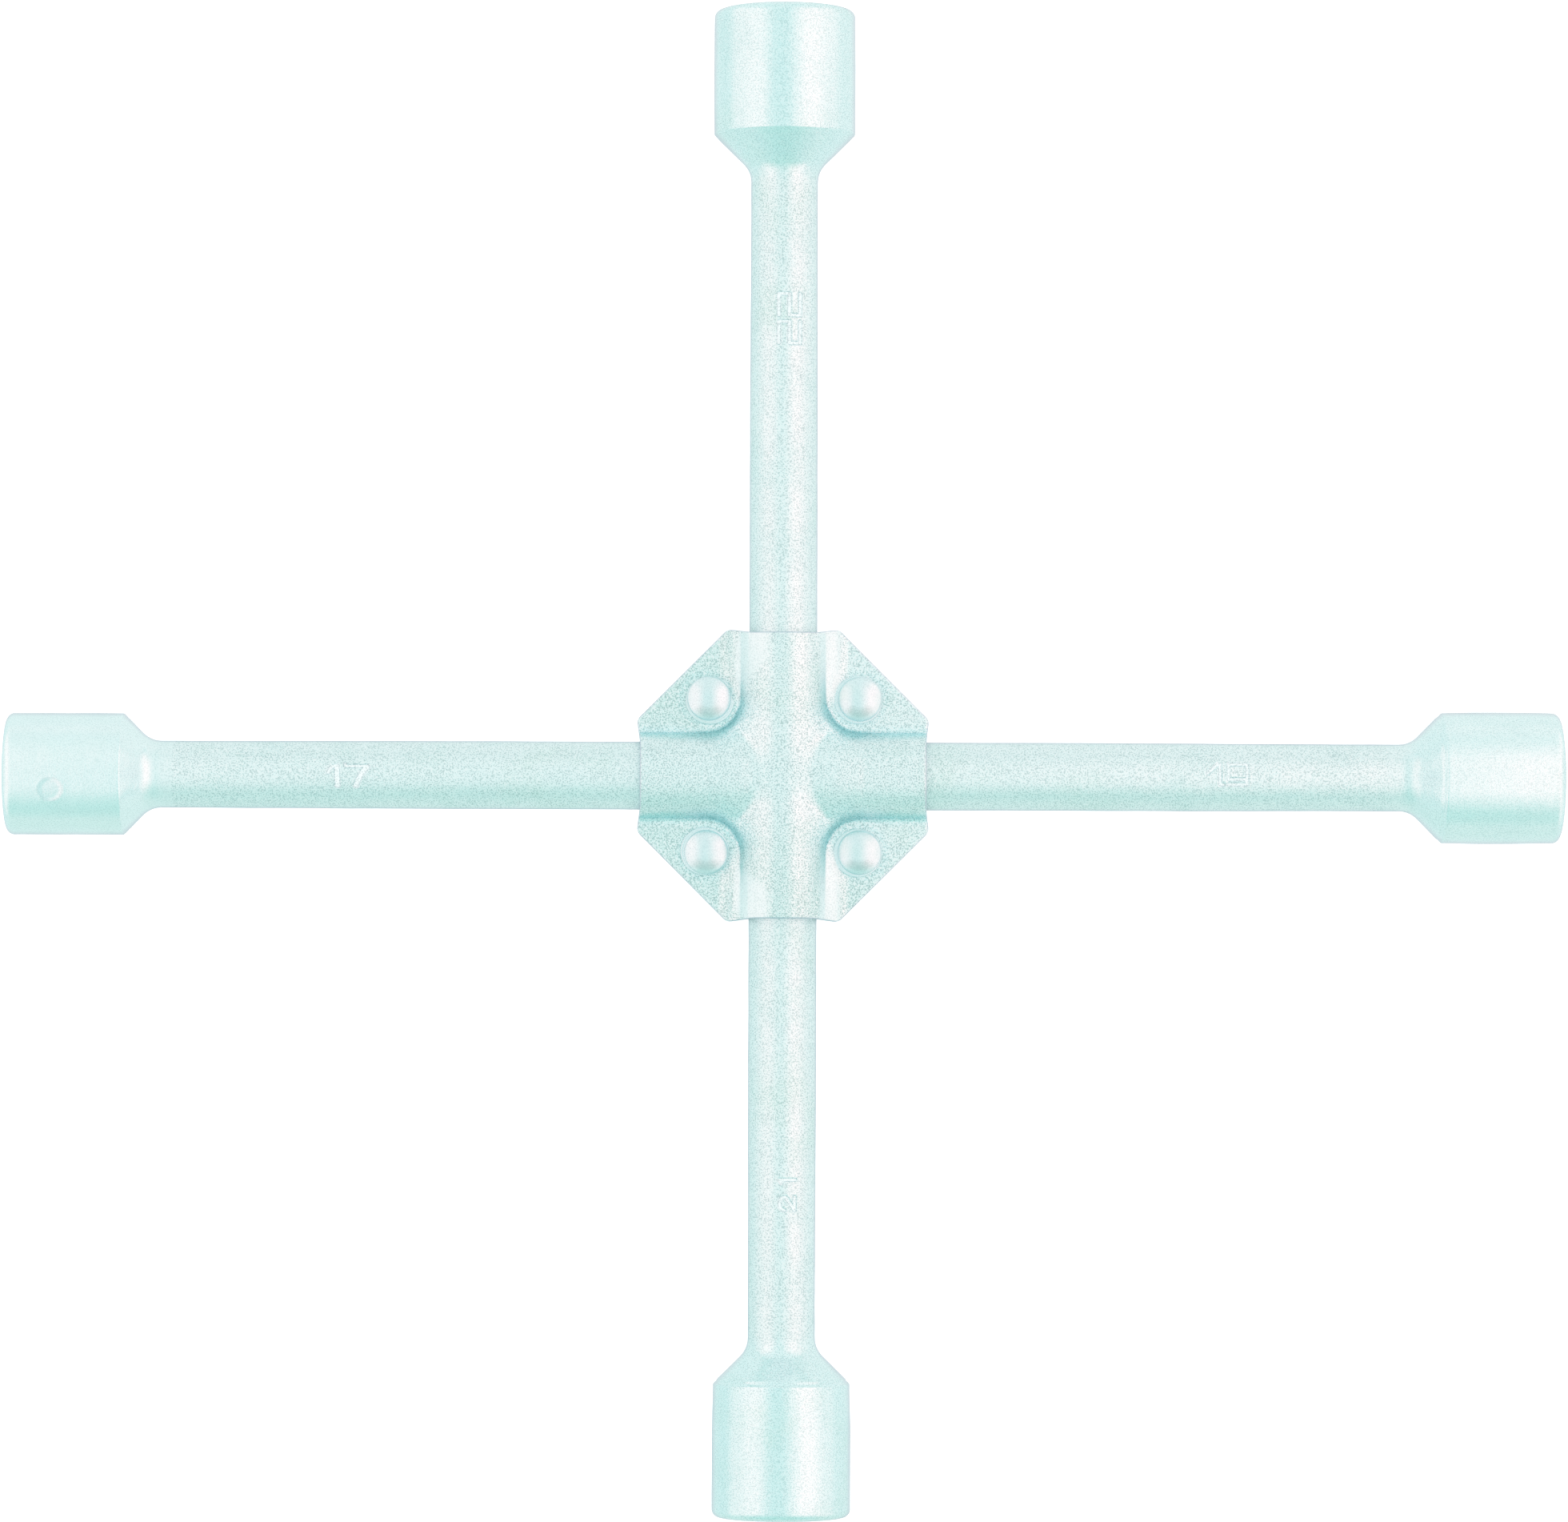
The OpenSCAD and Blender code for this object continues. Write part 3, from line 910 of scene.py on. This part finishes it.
# painted shade deep in the sockets' recesses
PAINTED_BORE_SHADE = (0.40, 0.52, 0.53)
PALE_AND_PAINTED_HIGHLIGHT = (0.83, 1.0, 1.0)       # paler sockets, and the painted highlight on the sheet's slopes
PIT_TEAL = (0.58, 0.65, 0.65)       # the finest specks multiply the tone by these
GLINT = (0.90, 1.0, 1.0)
PAINTED_EDGE_SHADE = (0.56, 0.66, 0.74)        # painted shade at a grazing angle and on sheared edges


def mottled(g, tone, neck, clouds, blotch, peel):
    """Tone of the plating with its slow changes of colour, and painted shade in its hollows."""
    # The necks of the sockets are finished like the bars that they are welded to.
    colour = g.mix(neck, tone, BAR_TONE)
    colour = g.mix(g.ramp(clouds, 0.42, 0.72, 0, 0.25), colour, DULL_TEAL)
    colour = g.mix(g.ramp(blotch, 0.52, 0.72, 0, 0.25), colour, OLIVE)
    colour = g.mix(g.times(g.mask("tint"), 0.6), colour, GREEN_TINT)
    colour = g.mix(g.ramp(peel, 0.52, 0.68, 0, 0.40), colour, PALE_ZINC)
    # Painted shade in the sheet's feet, in the cross's inside corners and round the rivets.
    return g.mix(g.times(g.mask("hollow"), 0.85), colour, PAINTED_SHADE_CYAN)


def marked(g, colour, stamp, shaded_bore):
    """Colour with the stamps' painted highlight and the painted shade on their walls, the test mark, the
    rivets' painted dark reflections and painted shade in the bores.
    """
    spot = g.mask("spot")
    # Painted highlight in the strokes of the stamps.
    colour = g.mix(stamp, colour, PAINTED_STAMP_HIGHLIGHT)
    colour = g.mix(g.times(spot, 0.7), colour, SPOT_GREY)
    # Painted dark reflection on the -Y side of each rivet head.
    colour = g.mix(g.times(g.mask("shade"), 0.8), colour, SHADE_GREY)
    # Painted shade along the walls of the stamps and of the test mark.
    for mask, strength in ((stamp, 1.8), (spot, 3.4)):
        colour = g.mix(g.times(mask, g.rest_of(mask), strength), colour, PAINTED_WALL_SHADE)
    # Painted shade deep in the sockets' recesses.
    return g.mix(g.times(shaded_bore, 0.8), colour, PAINTED_BORE_SHADE)


def speckled(g, colour, speckle, pits):
    """Colour with dark pits and pale glints in it, fewer on the paler sockets and under the sheet's
    painted highlight.
    """
    pale = g.mask("pale")
    pits = g.times(pits, g.rest_of(g.times(pale, 0.6)))
    # Paler sockets, and the painted highlight on the sheet's slopes and left side.
    colour = g.mix(pale, colour, PALE_AND_PAINTED_HIGHLIGHT)
    colour = g.mix(g.times(g.ramp(speckle, 0.50, 0.37), pits), colour, PIT_TEAL, "MULTIPLY")
    return g.mix(g.times(g.ramp(speckle, 0.52, 0.64), pits), colour, GLINT)


def zinc(name, tone, roughness, grain, pits):
    """Dull bright zinc plate: mottled tone, fine speckle and orange peel, and darker outlines of painted
    shade.

    grain is the strength of the fine bumps, and pits that of the dark pits and pale glints.
    Textures are scaled in millimetres. A mask that a piece doesn't have counts as 0.
    """
    material = bpy.data.materials.new(name)
    g = Nodes(material)
    place = g.add("TexCoord").outputs["Object"]
    mm = g.add("VectorMath", {0: place, "Scale": 1 / MM}, operation="SCALE").outputs[0]

    speckle = g.noise(mm, 3.1, detail=1, rough=0.5)
    peel = g.noise(mm, 1.1, detail=2, rough=0.55)
    cells = g.add("TexVoronoi", {"Vector": mm, "Scale": 1.6, "Smoothness": 0.6}, feature="SMOOTH_F1")
    waves = g.noise(mm, 0.22, detail=1)
    clouds = g.noise(mm, 0.09, detail=2, rough=0.6)
    blotch = g.noise(mm, 0.045, detail=3, rough=0.65)

    neck = g.mask("neck")
    stamp = g.mask("stamp")
    shaded_bore = g.mask("shaded_bore")
    colour = mottled(g, tone, neck, clouds, blotch, peel)
    colour = marked(g, colour, stamp, shaded_bore)
    colour = speckled(g, colour, speckle, g.ramp(neck, 0, 1, pits, BAR_PITS))
    # Painted shade: darker outlines where the surface is seen at a grazing angle, and on the sheet's
    # sheared edges.
    grazing = g.add("LayerWeight", {"Blend": 0.5}).outputs["Facing"]
    outline = g.math("MAXIMUM", g.ramp(grazing, 0.62, 0.95, 0, 0.9), g.times(g.mask("edge"), 0.8))
    colour = g.mix(outline, colour, PAINTED_EDGE_SHADE)

    rough = g.ramp(clouds, 0.3, 0.7, roughness - 0.04, roughness + 0.06)
    rough = g.plus(rough, g.times(neck, BAR_ROUGH - roughness), g.times(shaded_bore, 0.15))
    height = g.plus(g.times(speckle, 0.6), g.times(cells.outputs[0], 0.4))
    fine = g.add("Bump", {"Height": height, "Strength": grain, "Distance": 0.08 * MM})
    broad = g.add("Bump", {
        "Height": waves, "Strength": 0.5, "Distance": 0.12 * MM, "Normal": fine.outputs[0],
    })
    # In the stamps' strokes the plating is made mostly non-metallic, so that their pale colour shows as a
    # painted highlight.
    shader = g.add("BsdfPrincipled", {
        "Base Color": colour, "Metallic": g.rest_of(g.times(stamp, 0.85)), "Roughness": rough,
        "Normal": broad.outputs[0],
    })
    g.add("OutputMaterial", {0: shader.outputs[0]})
    return material


def floor_material():
    """Pale floor that photographs as white, and can be looked up through from below."""
    material = bpy.data.materials.new("pale_floor")
    g = Nodes(material)
    lit = g.add("BsdfDiffuse", {"Color": (0.9, 0.9, 0.9, 1)})
    glow = g.add("Emission", {"Color": (1, 1, 1, 1), "Strength": 0.6})
    front = g.add("AddShader", {0: lit.outputs[0], 1: glow.outputs[0]})
    below = g.add("NewGeometry").outputs["Backfacing"]
    clear = g.add("BsdfTransparent")
    both = g.add("MixShader", {0: below, 1: front.outputs[0], 2: clear.outputs[0]})
    g.add("OutputMaterial", {0: both.outputs[0]})
    return material


# ---------------------------------------------------------------- studio

DARK_TENT = (0.635, 0.85, 0.845)
GREEN_TENT = (0.60, 0.82, 0.785)    # towards the 21 mm arm
PALE_TENT = (1.32, 1.05, 1.05)
TENT_R = 0.6                        # metres
CAMERA_STAND = (-14.0, -50.0, 1500.0)   # from the middle of the wrench
CAMERA_ROLL = -0.165
FRAME_W = 368.85                    # width of the picture at the plane of the bars
SENSOR = 36.0
FLOOR_HALF = 3.0                    # metres
FLOOR_GAP = 0.05                    # keeps the floor clear of the sockets' undersides

# The tent's brightness is the share of its pale colour. Each ramp holds two angles, and the values
# before the first and after the second. Angles are in degrees from straight up, and count across
# towards the 19 mm arm or upward towards the 22 mm arm.
OVERHEAD = 0.21
RIGHT_BANK = 0.74                   # the bank of light on the right, at its strongest
RIGHT_NEAR = (2, 17, 0, 0.5)        # across: it begins in two steps
RIGHT_FAR = (12, 34, 0, 0.56)
RIGHT_END = (43, 80, 1, 0.28)       # across: and weakens further out
LEFT_BANK = 0.56
LEFT_NEAR = (-12, -37, 0, 1)
LEFT_END = (-48, -82, 1, 0.36)
BANK_TIPS = (16, 62, 1, 0.15)       # upward, either way: both banks weaken
UPPER_GLOW = (4, 50, 0, 0.12)       # upward: added
LOWER_SHADE = (-22, -60, 0, 0.23)   # upward: taken away
LOWER_GREEN = (-15, -60, 0, 1)      # upward: share of the greener dark colour
UNDERSIDE = 0.32                    # below the horizon, straight down
UNDERSIDE_X, UNDERSIDE_Y = 0.07, 0.11   # and how that changes towards +X and +Y
HORIZON_GLOW = 0.09


def tent_material():
    """Brightness round the light tent: a strong bank on the right, a weaker one on the left."""
    material = bpy.data.materials.new("light_tent")
    g = Nodes(material)
    place = g.add("TexCoord").outputs["Object"]
    direction = g.add("VectorMath", {0: place}, operation="NORMALIZE").outputs[0]
    x, y, z = g.add("SeparateXYZ", {0: direction}).outputs
    across = g.math("DEGREES", g.math("ARCSINE", x))
    upward = g.math("DEGREES", g.math("ARCSINE", y))
    tips = g.ramp(g.math("ABSOLUTE", upward), *BANK_TIPS)
    right = g.plus(g.ramp(across, *RIGHT_NEAR), g.ramp(across, *RIGHT_FAR))
    right = g.times(right, g.ramp(across, *RIGHT_END), tips)
    left = g.times(g.ramp(across, *LEFT_NEAR), g.ramp(across, *LEFT_END), tips)
    over = g.plus(OVERHEAD, g.times(right, RIGHT_BANK), g.times(left, LEFT_BANK))
    over = g.plus(over, g.ramp(upward, *UPPER_GLOW))
    over = g.math("SUBTRACT", over, g.ramp(upward, *LOWER_SHADE))
    under = g.plus(UNDERSIDE, g.times(x, UNDERSIDE_X), g.times(y, UNDERSIDE_Y))
    share = g.plus(g.times(g.ramp(z, -0.2, 0.1), over), g.times(g.ramp(z, 0.1, -0.2), under))
    horizon = g.times(g.ramp(z, 0.3, 0.0), g.ramp(z, -0.3, 0.0))
    share = g.plus(share, g.times(horizon, HORIZON_GLOW))
    dark = g.mix(g.ramp(upward, *LOWER_GREEN), DARK_TENT, GREEN_TENT)
    glow = g.add("Emission", {"Color": g.mix(share, dark, PALE_TENT), "Strength": 1.0})
    g.add("OutputMaterial", {0: glow.outputs[0]})
    return material


def light_tent():
    """A round tent that only the plating reflects, inside a plain white studio."""
    bm = bmesh.new()
    bmesh.ops.create_icosphere(bm, subdivisions=5, radius=TENT_R)
    mesh = bpy.data.meshes.new("light_tent")
    bm.to_mesh(mesh)
    bm.free()
    mesh.materials.append(tent_material())
    tent = linked("light_tent", mesh)
    tent.visible_camera = False
    tent.visible_diffuse = False
    tent.visible_shadow = False
    world = bpy.data.worlds.new("studio")
    bpy.context.scene.world = world
    g = Nodes(world)
    white = g.add("Background", {"Color": (1, 1, 1, 1), "Strength": 1.0})
    g.add("OutputWorld", {0: white.outputs[0]})


def pale_floor():
    """A plain floor that the sockets rest on."""
    level = cad_box[0].z - FLOOR_GAP * MM
    corners = [(-1, -1), (1, -1), (1, 1), (-1, 1)]
    mesh = bpy.data.meshes.new("floor")
    mesh.from_pydata([(x * FLOOR_HALF, y * FLOOR_HALF, level) for x, y in corners], [], [(0, 1, 2, 3)])
    mesh.materials.append(floor_material())
    floor = linked("floor", mesh)
    floor.visible_glossy = False


def studio_camera():
    """A long lens from nearly straight above, a little towards the 21 mm arm."""
    data = bpy.data.cameras.new("camera")
    camera = linked("camera", data)
    aim = (cad_box[0] + cad_box[1]) / 2
    place = aim + Vector(CAMERA_STAND) * MM
    camera.location = place
    camera.rotation_mode = "QUATERNION"
    back = (place - aim).normalized()
    right = Vector((0, 1, 0)).cross(back).normalized()
    level = Matrix((right, back.cross(right), back)).transposed().to_quaternion()
    camera.rotation_quaternion = level @ Quaternion((0, 0, 1), math.radians(-CAMERA_ROLL))
    data.sensor_width = SENSOR
    data.lens = SENSOR * (place - aim).length / (FRAME_W * MM)
    data.clip_start, data.clip_end = 0.1, 20
    bpy.context.scene.camera = camera


# ---------------------------------------------------------------- the wrench

socket_zinc = zinc("socket_zinc", (0.77, 0.99, 0.99), 0.22, 0.4, 0.45)
bar_zinc = zinc("bar_zinc", BAR_TONE, BAR_ROUGH, 0.55, BAR_PITS)
plate_zinc = zinc("plate_zinc", (0.825, 1.0, 1.0), 0.38, 0.42, 0.85)
rivet_zinc = zinc("rivet_zinc", (0.785, 0.94, 0.955), 0.27, 0.1, 0.2)

for node in SOCKETS:
    forged_socket(node, socket_zinc)
round_bar("cross_bar", 0, -1, bar_zinc)
round_bar("upright_bar", 90, 1, bar_zinc)
stamped_plate("front_plate", 1, plate_zinc)
stamped_plate("rear_plate", -1, plate_zinc)
for node in HEAD_OFFSETS:
    domed_rivet(node, rivet_zinc)

pale_floor()
light_tent()
studio_camera()
bpy.context.scene.view_settings.view_transform = "Standard"
